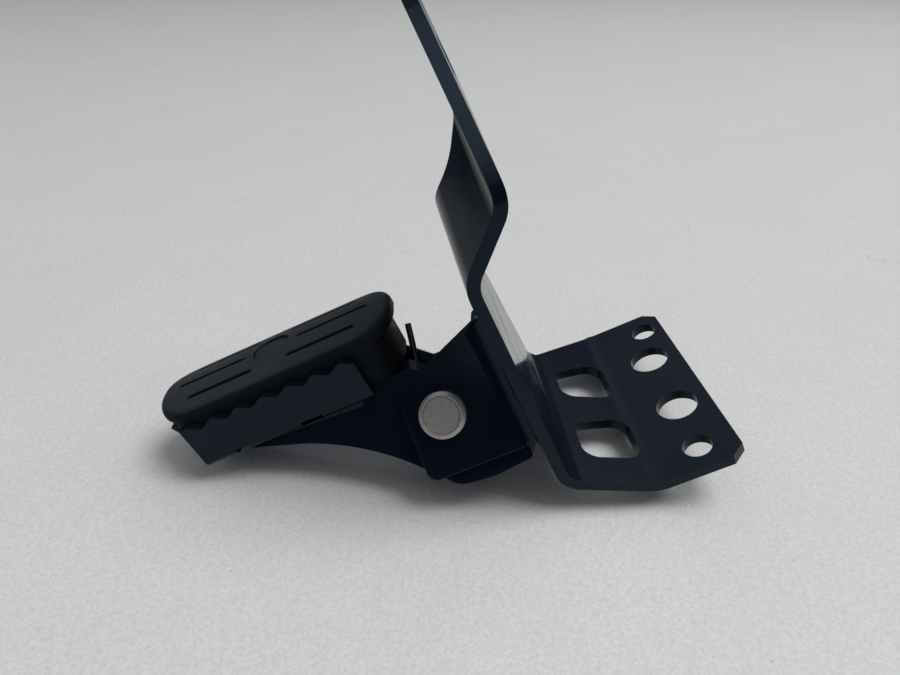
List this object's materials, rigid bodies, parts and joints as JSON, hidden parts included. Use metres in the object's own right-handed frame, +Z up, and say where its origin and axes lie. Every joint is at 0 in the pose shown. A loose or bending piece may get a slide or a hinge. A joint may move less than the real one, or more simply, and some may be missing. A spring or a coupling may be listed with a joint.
{
  "type": "folding footpeg with bracket",
  "caption": "Folding motorcycle footpeg: a rubber-padded toothed tread on a forged arm, hinged on a pin in a clevis welded to a folded steel frame bracket",
  "frame": {"origin": "midpoint between the two frame bolt holes, on the upper face of the bracket's flange", "axes": "X runs inboard towards the frame, Y to the rear, Z up, square to the tread and to the flange"},
  "size_m": [0.1862, 0.1002, 0.1796],
  "materials": {
    "black_paint": "gloss",
    "bare_steel": "satin",
    "spring_steel": "satin",
    "rubber": "matte"
  },
  "bodies": {
    "bracket": {"bracket_plate": "black_paint", "front_ear": "black_paint", "rear_ear": "black_paint", "front_ear_weld": "black_paint", "rear_ear_weld": "black_paint", "pivot_pin": "bare_steel", "pin_washer": "bare_steel", "split_pin": "bare_steel", "spring_bush": "bare_steel", "return_spring": "spring_steel"},
    "peg": {"peg_arm": "black_paint", "tread": "black_paint", "front_tread_weld": "black_paint", "rear_tread_weld": "black_paint", "rubber_pad": "rubber"}
  },
  "joints": [
    {"name": "peg_fold", "type": "hinge", "parent": "bracket", "child": "peg", "pos_m": [-0.07825, -0.02255, 0.04328], "axis": [0, 0.8192, -0.5736], "range_deg": [0, 36], "stiffness_Nm_per_rad": 0.8, "springref_deg": -45.84, "deforming": ["return_spring"]}
  ]
}
